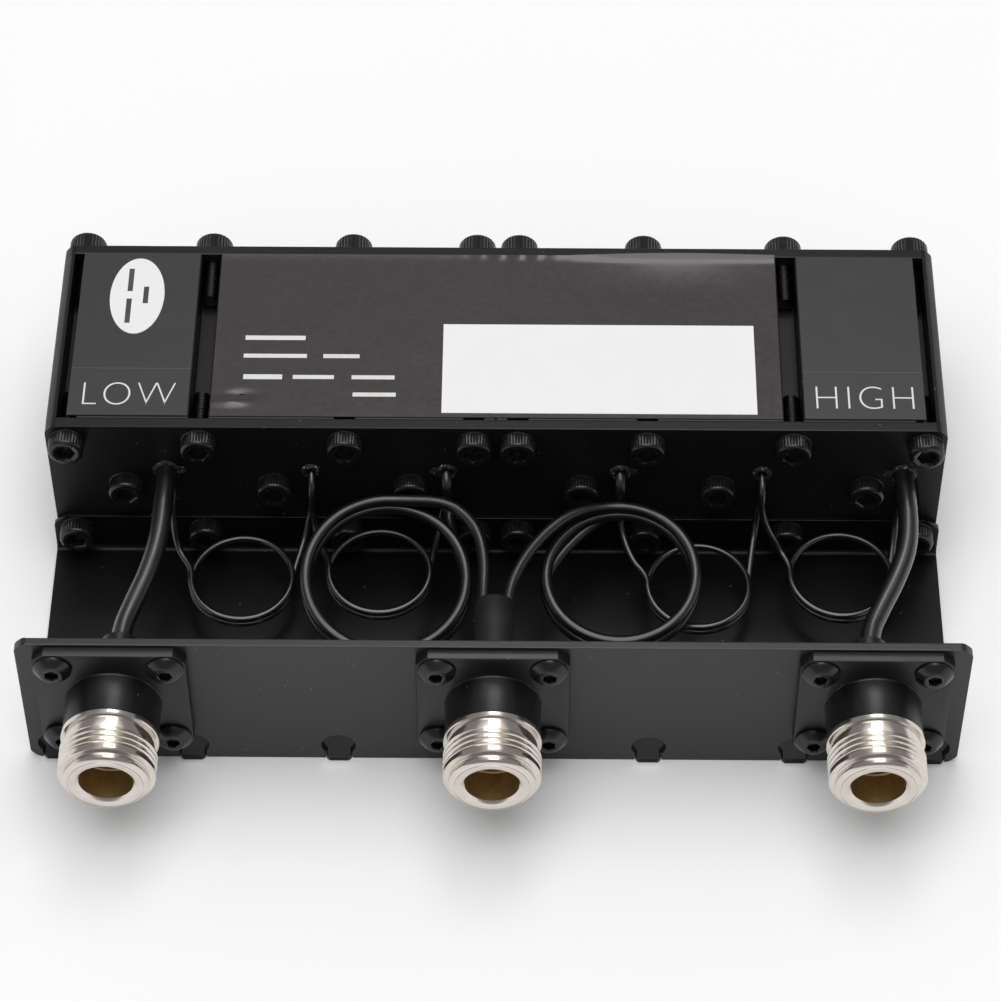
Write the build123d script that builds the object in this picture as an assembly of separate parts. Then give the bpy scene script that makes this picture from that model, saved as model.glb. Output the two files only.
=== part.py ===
from build123d import *
import math
import os

# Cavity duplexer for a mobile radio: two cavity housings clamped between a front and a back plate,
# a tray of formed coax cables in front of them, and a panel that carries three sockets.
# X runs along the panel, Y from the sockets to the back and Z up, in millimetres. While the parts are
# made, y = 0 is the panel's front face and z = 0 the tray's underside.

# Rounds that repeat are drawn with flat sides, so that the whole model stays light
turned_sides = 16
small_sides = 10
head_sides = 8
shank_sides = 6
cable_sides = 6
bend_step = 30.0

# Connector panel
panel_width = 154.0
panel_height = 30.5
panel_thick = 1.5
panel_corner = 1.5

# Tray, a folded sheet whose tabs pass through slots in the panel's lower edge
tray_thick = 1.0
tray_side_gap = 0.5
bay_depth = 43.6
flange_height = 9.45
flange_corner = 2.3
bend_radius = 1.0
tab_width = 4.2
tab_reach = 0.6
tab_second_shift = 0.2
tab_third_shift = -0.1
tab_inset = 3.8
tab_clearance = 0.1
relief_radius = 2.9
relief_height = 3.6
relief_sides = 16

# Housings and clamping plates
block_inset = 1.0
block_bottom = 2.6
block_height = 29.3
housing_length = 38.0
housing_corner = 1.5
plate_thick = 2.0
partition = 2.8
chamber_wall = 2.2
chamber_corner = 5.0
column_inner = 3.7
column_second_shift = -1.1
column_third_shift = 0.6
column_edge = 3.6
row_inset = 3.6
channel_width = 3.3

# Screws
shank_radius = 1.5
hole_clearance = 0.2
cap_radius = 3.05
cap_height = 3.0
back_cap_radius = 3.3
back_cap_height = 3.8
front_screw_length = 10.0
back_screw_length = 10.0
post_screw_length = 10.0
button_radius = 3.1
button_height = 1.8
button_chamfer = 0.9
button_screw_length = 5.0

# Resonator posts, their coupling loops and their tuning screws
outer_post_shift = 1.85
post_radius = 4.2
post_length = 27.0
thread_clearance = 0.05
tap_depth = 1.0
loop_wire = 1.0
loop_length = 8.0
loop_drop = 5.0
tuner_radius = 2.0
tuner_inside = 5.0
tuner_outside = 4.0
tuner_slot_width = 0.8
tuner_slot_depth = 1.2
nut_flats = 7.0
nut_thick = 2.4

# Sockets
socket_edge = 15.35
socket_height = 17.8
socket_flange = 24.8
socket_flange_thick = 2.0
socket_flange_chamfer = 2.0
socket_screw_spacing = 18.2
collar_radius = 8.0
collar_length = 8.2
neck_radius = 7.2
neck_length = 1.7
thread_radius = 7.94
thread_length = 4.5
nose_radius = 6.9
nose_length = 1.9
nose_chamfer = 0.6
mouth_radius = 4.4
mouth_depth = 9.0
insulator_length = 6.0
contact_radius = 1.55
contact_bore = 0.85
contact_recess = 5.0
contact_bore_depth = 4.2
spigot_radius = 5.6
spigot_length = 3.0
spigot_clearance = 0.2
ferrule_radius = 2.9
ferrule_length = 6.0
ferrule_bore_depth = 4.0

# Cables
thick_radius = 1.7
loop_radius = 1.0
coupling_radius = 0.6
cable_clearance = 0.1
cable_inside = 1.5
coupling_inside = 1.0
entry_rise = 3.45
entry_shifts = (-0.9, -1.25, -0.65, -0.25, -0.15, 0.05)
thick_pair_gap = 2.5
loop_pair_gap = 1.9
coupling_pair_gap = 1.3
sleeve_radius = 3.3
sleeve_length = 13.4
strand_offset = 1.9
loop_pitch = 2.2
coupling_coil_radius = 8.6
coupling_pitch = 1.25

# Labels
label_thick = 0.15
label_front_gap = 0.4
label_back_gap = 0.1
label_channel_gap = 0.25
face_label_end_gap = 0.1
strip_depth = 10.6
strip_thick = 0.1
field_side_gap = 4.2
field_width = 53.2
field_front_gap = 0.9
field_depth = 20.2
oval_shift = 0.25
oval_back_gap = 10.2
oval_width = 10.4
oval_length = 18.4

# Places that follow from the sizes
plate_front = panel_thick + bay_depth
flange_front = plate_front - tray_thick
chamber_front = plate_front + plate_thick
chamber_back = chamber_front + housing_length
back_face = chamber_back + plate_thick
tray_width = panel_width - 2 * tray_side_gap
housing_width = panel_width / 2 - block_inset
block_top = block_bottom + block_height
row_bottom = block_bottom + row_inset
row_top = block_top - row_inset
post_z = block_bottom + block_height / 2
entry_z = post_z + entry_rise
column_outer = housing_width - column_edge
cavity_width = (column_outer - column_inner) / 3
column_second = column_inner + cavity_width + column_second_shift
column_third = column_inner + 2 * cavity_width + column_third_shift
columns_right = (column_inner, column_second, column_third, column_outer)
columns = [-x for x in reversed(columns_right)] + list(columns_right)
cavity_edges = list(zip(columns_right[:-1], columns_right[1:]))
cavity_middles = [(low + high) / 2 for low, high in cavity_edges]
posts_right = cavity_middles[:-1] + [cavity_middles[-1] + outer_post_shift]
post_places = [-x for x in reversed(posts_right)] + posts_right
partition_places = [x - partition / 2 for x in columns[1:4] + columns[5:]]
entry_rooms = [(post + post_radius + wall) / 2 for post, wall in zip(post_places, partition_places)]
entry_places = [x + shift for x, shift in zip(entry_rooms, entry_shifts)]
tabs_right = (column_second + tab_second_shift, column_third + tab_third_shift, tray_width / 2 - tab_inset)
tab_places = [-x for x in reversed(tabs_right)] + [0.0] + list(tabs_right)
socket_spacing = panel_width / 2 - socket_edge
socket_places = (-socket_spacing, 0.0, socket_spacing)
socket_face = -socket_flange_thick
collar_front = socket_face - collar_length
neck_front = collar_front - neck_length
thread_front = neck_front - thread_length
nose_front = thread_front - nose_length
mouth_end = nose_front + mouth_depth
contact_front = nose_front + contact_recess
insulator_back = mouth_end + insulator_length
spigot_back = panel_thick + spigot_length
ferrule_back = spigot_back + ferrule_length
ferrule_bore_end = ferrule_back - ferrule_bore_depth
sleeve_back = spigot_back + sleeve_length
tuner_front = chamber_back - tuner_inside
tuner_back = back_face + nut_thick + tuner_outside
frame_shift = -(nose_front + tuner_back) / 2
label_front = chamber_front + label_front_gap
label_back = chamber_back - label_back_gap
label_top = block_top + label_thick
main_label_half = column_third - channel_width / 2 - label_channel_gap
face_label_inner = column_third + channel_width / 2 + label_channel_gap
face_label_outer = column_outer - face_label_end_gap
field_right = main_label_half - field_side_gap
field_left = field_right - field_width
oval_x = oval_shift - (face_label_inner + face_label_outer) / 2


def facing(y):
    """A plane across Y at the given y, with its own x along X and its own y along Z."""
    return Plane(origin=(0, y, 0), x_dir=(1, 0, 0), z_dir=(0, -1, 0))


def slab(sketch, front, back):
    """The sketch, drawn in X and Z, made solid from y = front to y = back."""
    return extrude(facing(front) * sketch, amount=front - back)


def box(x_low, x_high, y_low, y_high, z_low, z_high):
    size = (x_high - x_low, y_high - y_low, z_high - z_low)
    middle = ((x_low + x_high) / 2, (y_low + y_high) / 2, (z_low + z_high) / 2)
    return Pos(*middle) * Box(*size)


def around(radius, sides):
    """A flat-sided hole that a round of this radius just passes through."""
    return RegularPolygon(radius, sides, major_radius=False)


def screw_hole():
    return around(shank_radius + hole_clearance, shank_sides)


def write(name, *shapes):
    """Writes one node, moved so that the origin is under the middle of the whole."""
    placed = [Pos(0, frame_shift, 0) * shape for shape in shapes]
    whole = placed[0] if len(placed) == 1 else Compound(children=placed)
    export_step(whole, f"parts/{name}.step")


def make_housing(side):
    """One extruded housing: three chambers, and screw channels open at the top and the bottom."""
    outline = Pos(side * housing_width / 2, post_z) * Rectangle(housing_width, block_height)
    across = outline.vertices().sort_by(Axis.X)
    outline = chamfer(across[-2:] if side > 0 else across[:2], housing_corner)
    depth = row_inset + channel_width / 2
    for x in columns_right:
        outline -= Pos(side * x, block_top - depth / 2) * Rectangle(channel_width, depth)
        outline -= Pos(side * x, block_bottom + depth / 2) * Rectangle(channel_width, depth)
    for low, high in cavity_edges:
        chamber = Rectangle(high - low - partition, block_height - 2 * chamber_wall)
        chamber = chamfer(chamber.vertices(), chamber_corner)
        outline -= Pos(side * (low + high) / 2, post_z) * chamber
    return slab(outline, chamber_front, chamber_back)


def plate_outline():
    sheet = Pos(0, post_z) * Rectangle(2 * housing_width, block_height)
    sheet = chamfer(sheet.vertices(), housing_corner)
    return sheet - [Pos(x, z) * screw_hole() for x in columns for z in (row_bottom, row_top)]


def make_front_plate():
    sheet = plate_outline()
    sheet -= [Pos(x, post_z) * screw_hole() for x in post_places]
    sheet -= [Pos(x, entry_z) * around(radius + cable_clearance, shank_sides) for x, radius in cable_entries()]
    return slab(sheet, plate_front, chamber_front)


def make_back_plate():
    tuner_hole = RegularPolygon(tuner_radius + thread_clearance, small_sides)
    sheet = plate_outline() - [Pos(x, post_z) * tuner_hole for x in post_places]
    return slab(sheet, chamber_back, back_face)


def make_tray():
    """Floor, front tabs and an upturned rear flange, bent from one sheet."""
    tray = box(-tray_width / 2, tray_width / 2, panel_thick, plate_front, 0, tray_thick)
    flange = Pos(0, flange_height / 2) * Rectangle(tray_width, flange_height)
    flange = chamfer(flange.vertices().sort_by(Axis.Y)[2:], flange_corner)
    flange -= [Pos(x, row_bottom) * screw_hole() for x in columns]
    tray += slab(flange, flange_front, plate_front)
    tray = fillet(bend_edges(tray, flange_front, tray_thick), bend_radius)
    tray = fillet(bend_edges(tray, plate_front, 0), bend_radius + tray_thick)
    for x in tab_places:
        tab = box(x - tab_width / 2, x + tab_width / 2, -tab_reach, panel_thick, 0, tray_thick)
        tray += chamfer(tab.edges().filter_by(Axis.Z).sort_by(Axis.Y)[:2], tab_reach)
    return tray


def bend_edges(sheet, y, z):
    """The edges along X that lie at the given y and z."""
    near = tray_thick / 4
    return [edge for edge in sheet.edges().filter_by(Axis.X)
            if abs(edge.center().Y - y) < near and abs(edge.center().Z - z) < near]


def make_panel():
    """The panel, with a slot and a relief hole above each tray tab and a seat for each socket."""
    sheet = Pos(0, panel_height / 2) * Rectangle(panel_width, panel_height)
    sheet = chamfer(sheet.vertices(), panel_corner)
    slot = Rectangle(tab_width + 2 * tab_clearance, relief_height)
    for x in tab_places:
        sheet -= Pos(x, relief_height) * RegularPolygon(relief_radius, relief_sides)
        sheet -= Pos(x, relief_height / 2) * slot
    for x in socket_places:
        sheet -= Pos(x, socket_height) * around(spigot_radius + spigot_clearance, small_sides)
        sheet -= [Pos(x + dx, socket_height + dz) * screw_hole() for dx, dz in socket_screw_places()]
    return slab(sheet, 0, panel_thick)


def socket_screw_places():
    half = socket_screw_spacing / 2
    return [(dx, dz) for dx in (-half, half) for dz in (-half, half)]


def round_bar(radius, front, back, sides=turned_sides):
    return slab(RegularPolygon(radius, sides), front, back)


def make_socket(bored):
    """Square flange, collar, thread and nose in front, spigot and crimp ferrule behind."""
    flange = Rectangle(socket_flange, socket_flange)
    flange = chamfer(flange.vertices(), socket_flange_chamfer)
    flange -= [Pos(dx, dz) * screw_hole() for dx, dz in socket_screw_places()]
    nose = round_bar(nose_radius, nose_front, thread_front)
    nose = chamfer(nose.faces().sort_by(Axis.Y)[0].edges(), nose_chamfer)
    body = slab(flange, socket_face, 0)
    body += round_bar(collar_radius, collar_front, socket_face)
    body += round_bar(neck_radius, neck_front, collar_front)
    body += slab(Circle(thread_radius), thread_front, neck_front)
    body += nose
    body += round_bar(spigot_radius, 0, spigot_back, small_sides)
    body += round_bar(ferrule_radius, spigot_back, ferrule_back, small_sides)
    body -= round_bar(mouth_radius, nose_front, insulator_back)
    if bored:
        body -= slab(around(thick_radius + thread_clearance, shank_sides), ferrule_bore_end, ferrule_back)
    return body


def make_insulator():
    ring = RegularPolygon(mouth_radius, turned_sides) - RegularPolygon(contact_radius, small_sides)
    return slab(ring, mouth_end, insulator_back)


def make_contact():
    contact = round_bar(contact_radius, contact_front, insulator_back, small_sides)
    return contact - round_bar(contact_bore, contact_front, contact_front + contact_bore_depth, shank_sides)


def make_cap_screw(length, radius=cap_radius, height=cap_height):
    """Cap screw that seats at y = 0, with its head in front and its shank behind."""
    head = round_bar(radius, -height, 0, head_sides)
    return head + round_bar(shank_radius, 0, length, shank_sides)


def make_button_screw():
    head = round_bar(button_radius, -button_height, 0, head_sides)
    head = chamfer(head.faces().sort_by(Axis.Y)[0].edges(), button_chamfer)
    return head + round_bar(shank_radius, 0, button_screw_length, shank_sides)


def make_post():
    """Resonator post that stands on the front plate, tapped for the screw that holds it."""
    post = round_bar(post_radius, chamber_front, chamber_front + post_length, small_sides)
    depth = post_screw_length - plate_thick + tap_depth
    tapped = shank_radius + thread_clearance
    return post - round_bar(tapped, chamber_front, chamber_front + depth, shank_sides)


def make_coupling_loop(x):
    """Wire from the end of an entering cable into the chamber and back to the front plate."""
    start = chamber_front + cable_inside
    far = start + loop_length
    low = entry_z - loop_drop
    path = Polyline((x, start, entry_z), (x, far, entry_z), (x, far, low), (x, chamber_front, low))
    section = facing(start) * Pos(x, entry_z) * Rectangle(loop_wire, loop_wire)
    return sweep(section, path=path, transition=Transition.RIGHT)


def make_tuner():
    """Slotted tuning screw that runs through the back plate and its lock nut."""
    half = tuner_slot_width / 2
    slot = box(-tuner_radius, tuner_radius, tuner_back - tuner_slot_depth, tuner_back, -half, half)
    return round_bar(tuner_radius, tuner_front, tuner_back, small_sides) - slot


def make_nut():
    bore = RegularPolygon(tuner_radius + thread_clearance, small_sides)
    return slab(around(nut_flats / 2, 6) - bore, back_face, back_face + nut_thick)


def coupling_entries():
    """The two places in the front plate for each coupling cable, in cavity order."""
    first, second, third, fourth, fifth, sixth = entry_places
    half = coupling_pair_gap / 2
    return [
        (first + thick_pair_gap, second - half),
        (second + half, third - loop_pair_gap),
        (fourth + loop_pair_gap, fifth - half),
        (fifth + half, sixth - thick_pair_gap),
    ]


def cable_entries():
    """Every hole for a cable in the front plate, as its place and the cable's radius."""
    main = [(entry_places[k], thick_radius) for k in (0, 5)]
    main += [(entry_places[k], loop_radius) for k in (2, 3)]
    return main + [(x, coupling_radius) for pair in coupling_entries() for x in pair]


def coil_place(centre, radius, tilt, pitch, start, turns):
    """A point of a coil that sinks by its pitch each turn, counted in turns from its start angle."""
    angle = math.radians(start) + 2 * math.pi * turns
    across = radius * math.sin(angle)
    x = centre[0] + radius * math.cos(angle)
    y = centre[1] + across * math.cos(math.radians(tilt))
    z = centre[2] + across * math.sin(math.radians(tilt)) - pitch * abs(turns)
    return Vector(x, y, z)


def coil_arcs(centre, radius, tilt, pitch, start, direction, turns):
    """Tangent arcs from turn to turn; half a turn apart they follow the coil closely."""
    at = coil_place(centre, radius, tilt, pitch, start, 0)
    angle = math.radians(start)
    heading = Vector(-direction * math.sin(angle), direction * math.cos(angle), 0)
    arcs = []
    for turn in turns:
        end = coil_place(centre, radius, tilt, pitch, start, direction * turn)
        arcs.append(TangentArc(at, end, tangent=heading))
        at = end
        heading = arcs[-1] % 1
    return arcs


def rounded(name, points):
    """Straight runs with an arc at each corner, as large as the runs allow, and its radii printed."""
    points = [Vector(*point) for point in points]
    runs = [(after - before).length for before, after in zip(points, points[1:])]
    shares = [0.45] * len(runs)
    shares[0] = shares[-1] = 0.9
    radii = []
    for k in range(1, len(points) - 1):
        turn = (points[k] - points[k - 1]).get_angle(points[k + 1] - points[k])
        room = min(runs[k - 1] * shares[k - 1], runs[k] * shares[k])
        radii.append(room / math.tan(math.radians(turn) / 2))
    print(name, "radii", [round(radius, 1) for radius in radii])
    return FilletPolyline(*points, radius=radii)


def along(route):
    """Points along a route, its arcs divided into steps of at most bend_step degrees."""
    points = [route @ 0]
    for edge in route.order_edges():
        steps = 1
        if edge.geom_type == GeomType.CIRCLE:
            steps = math.ceil(math.degrees(edge.length / edge.radius) / bend_step)
        places = [edge @ (k / steps) for k in range(steps + 1)]
        if (places[0] - points[-1]).length > (places[-1] - points[-1]).length:
            places.reverse()
        points += places[1:]
    return points


def cable(name, radius, *pieces):
    """A cable along the given lines and arcs, with its length and volume printed."""
    route = Wire([edge for piece in pieces for edge in piece.edges()])
    path = Polyline(*along(route))
    section = Plane(origin=path @ 0, z_dir=path % 0) * RegularPolygon(radius, cable_sides)
    solid = sweep(section, path=path, transition=Transition.RIGHT)
    print(name, "length", round(route.length, 1), "volume", round(solid.volume, 1),
          "section by length", round(section.area * path.length, 1))
    return solid


def through_plate(x, depth):
    """The straight end of a cable through the front plate into its chamber."""
    return Line((x, plate_front, entry_z), (x, chamber_front + depth, entry_z))


def make_thick_cable(name, side, entry, places):
    """Cable from an outer socket's ferrule to its cavity."""
    x = side * socket_spacing
    route = [(x, ferrule_bore_end, socket_height), (x, ferrule_back + thick_radius, socket_height)]
    route += places + [(entry, plate_front, entry_z)]
    return cable(name, thick_radius, rounded(name, route), through_plate(entry, cable_inside))


def make_loop_cable(name, side, entry, centre, radius, tilt, lead, rise):
    """Cable from the middle socket's sleeve round a loop of nearly two turns to its cavity."""
    arcs = coil_arcs(centre, radius, tilt, loop_pitch, 90, side, (0.5, 1.0, 1.5, 1.75))
    far = coil_place(centre, radius, tilt, loop_pitch, 90, 0)
    run = 5.0
    start = (-side * strand_offset, ferrule_back, socket_height)
    route = [start] + lead + [(far.X + side * run, far.Y, far.Z), tuple(far)]
    lead_in = rounded(name + " lead", route)
    near = arcs[-1] @ 1
    ahead = near + (arcs[-1] % 1) * run
    route = [tuple(near), tuple(ahead)] + rise + [(entry, plate_front, entry_z)]
    lead_out = rounded(name + " rise", route)
    return cable(name, loop_radius, lead_in, *arcs, lead_out, through_plate(entry, cable_inside))


def make_coupling_cable(name, entries, centre, lead, rise):
    """Thin cable between two cavities, wound one and a half turns on its way."""
    arcs = coil_arcs(centre, coupling_coil_radius, 0, coupling_pitch, 180, 1, (0.5, 1.0, 1.5))
    first, last = entries
    start = arcs[0] @ 0
    end = arcs[-1] @ 1
    run = 3.5
    route = [(first, plate_front, entry_z)] + lead + [(start.X, start.Y + run, start.Z), tuple(start)]
    lead_in = rounded(name + " lead", route)
    route = [tuple(end), (end.X, end.Y + run + 1.0, end.Z)] + rise + [(last, plate_front, entry_z)]
    lead_out = rounded(name + " rise", route)
    ends = [through_plate(x, coupling_inside) for x in entries]
    return cable(name, coupling_radius, ends[0], lead_in, *arcs, lead_out, ends[1])


def make_sleeve():
    """Sleeve over the middle ferrule, with a bore for each of the two strands that leave it."""
    solid = round_bar(sleeve_radius, spigot_back, sleeve_back, small_sides)
    solid -= round_bar(ferrule_radius, spigot_back, ferrule_back, small_sides)
    strand = around(loop_radius + thread_clearance, shank_sides)
    strands = [Pos(side * strand_offset, 0) * strand for side in (-1, 1)]
    return solid - slab(Sketch() + strands, ferrule_back, sleeve_back)


def write_labels():
    """Thin printed sheets on top of the housings, and what is stuck on them."""
    sheet = box(-main_label_half, main_label_half, label_front, label_back, block_top, label_top)
    write("main_label", sheet)
    strip_top = label_top + strip_thick
    for name, side in (("low", -1), ("high", 1)):
        ends = sorted((side * face_label_inner, side * face_label_outer))
        write(f"{name}_face_label", box(*ends, label_front, label_back, block_top, label_top))
        write(f"{name}_strip", box(*ends, label_front, label_front + strip_depth, label_top, strip_top))
    front = label_front + field_front_gap
    write("writing_field", box(field_left, field_right, front, front + field_depth, label_top, strip_top))
    oval = scale(RegularPolygon(oval_width / 2, turned_sides), by=(1, oval_length / oval_width, 1))
    oval = Pos(oval_x, chamber_back - oval_back_gap, label_top) * oval
    write("oval_sticker", extrude(oval, amount=strip_thick))


def write_screws():
    front = make_cap_screw(front_screw_length)
    write("front_top_screws", *[Pos(x, plate_front, row_top) * front for x in columns])
    write("front_bottom_screws", *[Pos(x, flange_front, row_bottom) * front for x in columns])
    back = Rot(0, 0, 180) * make_cap_screw(back_screw_length, back_cap_radius, back_cap_height)
    write("back_top_screws", *[Pos(x, back_face, row_top) * back for x in columns])
    write("back_bottom_screws", *[Pos(x, back_face, row_bottom) * back for x in columns])
    middle = make_cap_screw(post_screw_length)
    write("resonator_screws", *[Pos(x, plate_front, post_z) * middle for x in post_places])
    button = make_button_screw()
    write("flange_screws", *[Pos(x + dx, socket_face, socket_height + dz) * button
                             for x in socket_places for dx, dz in socket_screw_places()])


def write_sockets():
    for name, x in zip(("low", "antenna", "high"), socket_places):
        place = Pos(x, 0, socket_height)
        write(f"{name}_connector", place * make_socket(bored=x != 0))
        write(f"{name}_insulator", place * make_insulator())
        write(f"{name}_contact", place * make_contact())
    write("tee_sleeve", Pos(0, 0, socket_height) * make_sleeve())


def write_cavities():
    post = make_post()
    tuner = make_tuner()
    nut = make_nut()
    for number, x in enumerate(post_places, start=1):
        write(f"resonator_{number}", Pos(x, 0, post_z) * post)
        write(f"tuning_screw_{number}", Pos(x, 0, post_z) * tuner)
    write("tuning_nuts", *[Pos(x, 0, post_z) * nut for x in post_places])
    write("coupling_loops", *[make_coupling_loop(x) for x in entry_places])


def write_cables():
    first, second, third, fourth, fifth, sixth = entry_places
    write("low_cable", make_thick_cable("low_cable", -1, first, [
        (-60.6, 18.0, 18.2), (-58.6, 24.0, 19.2), (-56.9, 30.5, 20.2), (first, 38.0, entry_z)]))
    write("high_cable", make_thick_cable("high_cable", 1, sixth, [
        (63.1, 18.0, 18.1), (65.9, 24.0, 18.9), (68.1, 30.0, 20.0), (sixth, 37.5, entry_z)]))
    write("low_loop_cable", make_loop_cable(
        "low_loop_cable", 1, third, (-18.4, 28.1, 14.7), 13.55, 20.2,
        [(-strand_offset, 20.5, socket_height), (-1.7, 28.5, 18.2), (-3.4, 35.3, 18.7), (-8.0, 39.8, 19.2)],
        [(-7.6, 37.9, 13.2), (third, 42.9, 14.4), (third, 42.9, entry_z)]))
    write("high_loop_cable", make_loop_cable(
        "high_loop_cable", -1, fourth, (21.2, 29.1, 14.4), 12.6, 19.5,
        [(strand_offset, 20.0, socket_height), (3.7, 27.8, 18.0), (7.3, 34.8, 18.2), (12.0, 39.3, 18.4)],
        [(14.5, 38.9, 12.4), (fourth, 43.1, 13.6), (fourth, 43.1, entry_z)]))
    pairs = coupling_entries()
    write("coupling_cable_1", make_coupling_cable(
        "coupling_cable_1", pairs[0], (-43.8, 32.0, 7.5),
        [(pairs[0][0], 42.6, entry_z), (-54.0, 40.4, 12.4), (-53.6, 38.4, 8.4)],
        [(-33.6, 40.6, 9.6), (pairs[0][1], 42.2, entry_z)]))
    write("coupling_cable_2", make_coupling_cable(
        "coupling_cable_2", pairs[1], (-19.8, 31.9, 9.8),
        [(pairs[1][0], 42.6, entry_z), (-31.2, 41.0, 11.2), (-30.0, 37.6, 9.8)],
        [(-10.4, 41.2, 11.0), (pairs[1][1], 42.4, entry_z)]))
    write("coupling_cable_3", make_coupling_cable(
        "coupling_cable_3", pairs[2], (35.4, 31.6, 7.5),
        [(pairs[2][0], 43.2, entry_z), (22.6, 42.4, 11.6), (24.6, 37.4, 8.4)],
        [(44.4, 40.6, 9.0), (pairs[2][1], 42.2, entry_z)]))
    write("coupling_cable_4", make_coupling_cable(
        "coupling_cable_4", pairs[3], (58.9, 33.6, 7.5),
        [(pairs[3][0], 42.4, entry_z), (46.6, 40.6, 14.0), (49.4, 38.8, 8.4)],
        [(67.0, 41.2, 9.4), (pairs[3][1], 42.4, entry_z)]))


def main():
    os.makedirs("parts", exist_ok=True)
    write("connector_panel", make_panel())
    write("tray", make_tray())
    write("low_housing", make_housing(-1))
    write("high_housing", make_housing(1))
    write("front_plate", make_front_plate())
    write("back_plate", make_back_plate())
    write_sockets()
    write_screws()
    write_cavities()
    write_cables()
    write_labels()


main()
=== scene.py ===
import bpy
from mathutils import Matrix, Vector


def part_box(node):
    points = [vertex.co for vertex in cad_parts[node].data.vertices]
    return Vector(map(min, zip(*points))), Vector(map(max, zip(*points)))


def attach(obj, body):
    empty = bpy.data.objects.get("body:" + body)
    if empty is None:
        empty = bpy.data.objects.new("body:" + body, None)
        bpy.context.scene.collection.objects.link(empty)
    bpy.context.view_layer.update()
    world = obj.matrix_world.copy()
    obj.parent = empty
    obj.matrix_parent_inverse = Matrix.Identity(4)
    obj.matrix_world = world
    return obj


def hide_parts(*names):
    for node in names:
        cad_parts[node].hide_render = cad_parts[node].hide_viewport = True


bl_info = {
    "name": "Cavity duplexer",
    "version": (1, 0, 0),
    "blender": (4, 5, 0),
    "location": "View3D > Sidebar > Duplexer",
    "description": "Finished metalwork, sockets, screws, cables and labels of a cavity duplexer",
    "category": "Object",
}

import math
import random
import bmesh
import bpy
from bpy.props import FloatProperty, FloatVectorProperty, IntProperty, PointerProperty
from mathutils import Matrix, Vector

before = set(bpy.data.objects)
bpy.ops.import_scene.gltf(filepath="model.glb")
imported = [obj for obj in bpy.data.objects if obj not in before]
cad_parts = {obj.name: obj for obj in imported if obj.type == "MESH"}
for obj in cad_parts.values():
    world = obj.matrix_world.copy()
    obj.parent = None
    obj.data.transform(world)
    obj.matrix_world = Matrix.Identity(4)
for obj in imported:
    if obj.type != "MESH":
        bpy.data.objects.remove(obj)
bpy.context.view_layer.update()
mm = 0.001
root_body = "duplexer"
tuner_count = 6
weld = 0.001 * mm
panel_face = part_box("connector_panel")[0].y
# Where the cables enter the front plate from left to right, and how high, in millimetres
cable_entries = (-56.1, -31.5, -8.4, 21.2, 45.2, 69.2)
entry_level = 20.7
shank_radius = 1.5 * mm
thread_depth = 0.28 * mm


# Finishes

def linear(code):
    """An sRGB hex colour as linear red, green and blue."""
    parts = [int(code[place:place + 2], 16) / 255 for place in (1, 3, 5)]
    return tuple(part / 12.92 if part <= 0.04045 else ((part + 0.055) / 1.055) ** 2.4
                 for part in parts)


def add(tree, kind, inputs=None, **settings):
    """Adds a node; an input that is given a socket is linked, and any other gets the value."""
    node = tree.nodes.new("ShaderNode" + kind)
    for name, value in settings.items():
        setattr(node, name, value)
    for name, value in (inputs or {}).items():
        if isinstance(value, bpy.types.NodeSocket):
            tree.links.new(value, node.inputs[name])
        else:
            node.inputs[name].default_value = value
    return node


def new_finish(name, values=None):
    """A new material, its shader with these values, and the place on the piece in metres."""
    material = bpy.data.materials.new(name)
    material.use_nodes = True
    tree = material.node_tree
    tree.nodes.clear()
    shader = add(tree, "BsdfPrincipled", values)
    add(tree, "OutputMaterial", {"Surface": shader.outputs["BSDF"]})
    return material, shader, add(tree, "TexCoord").outputs["Object"]


def grains(place, size, detail=2.0):
    """Noise whose blotches are about this size, in metres."""
    inputs = {"Vector": place, "Scale": 1 / size, "Detail": detail}
    return add(place.id_data, "TexNoise", inputs).outputs["Fac"]


def spread(value, low, high, low_out, high_out):
    """The value, rescaled from one range to another and held inside it."""
    inputs = {"Value": value, "From Min": low, "From Max": high,
              "To Min": low_out, "To Max": high_out}
    return add(value.id_data, "MapRange", inputs).outputs["Result"]


def combine(operation, first, second):
    inputs = {0: first, 1: second}
    return add(first.id_data, "Math", inputs, operation=operation).outputs[0]


def blend_colours(share, first, second):
    """The first colour where share is 0 and the second where it is 1."""
    tree = share.id_data
    node = add(tree, "Mix", data_type="RGBA")
    for socket, value in ((0, share), (6, first), (7, second)):
        if isinstance(value, bpy.types.NodeSocket):
            tree.links.new(value, node.inputs[socket])
        else:
            node.inputs[socket].default_value = (*value, 1)
    return node.outputs[2]


def link(source, shader, name):
    shader.id_data.links.new(source, shader.inputs[name])


def set_bump(shader, height, distance, strength=1.0):
    inputs = {"Height": height, "Distance": distance, "Strength": strength}
    link(add(shader.id_data, "Bump", inputs).outputs["Normal"], shader, "Normal")


def set_colour(shader, share, first, second):
    link(blend_colours(share, first, second), shader, "Base Color")


def set_roughness(shader, value, low, high, low_out, high_out):
    link(spread(value, low, high, low_out, high_out), shader, "Roughness")


def scaled(colour, factor):
    return tuple(part * factor for part in colour)


def powder_coat(name, colour, shine, specular):
    """Aluminium under satin black powder coat: soft highlights, orange-peel pits, a little dust."""
    material, shader, place = new_finish(name, {"Specular IOR Level": specular})
    cells = {"Vector": place, "Scale": 1 / (3.4 * mm)}
    dust = add(material.node_tree, "TexVoronoi", cells).outputs["Distance"]
    specks = spread(dust, 0.035, 0.05, 0.6, 0.0)
    clouds = grains(place, 14 * mm, 3.0)
    base = blend_colours(clouds, colour, scaled(colour, 1.5))
    set_colour(shader, specks, base, linear("#7a7672"))
    set_roughness(shader, clouds, 0.3, 0.7, shine - 0.03, shine + 0.05)
    set_bump(shader, grains(place, 0.6 * mm), 0.02 * mm, 0.6)
    return material


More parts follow.
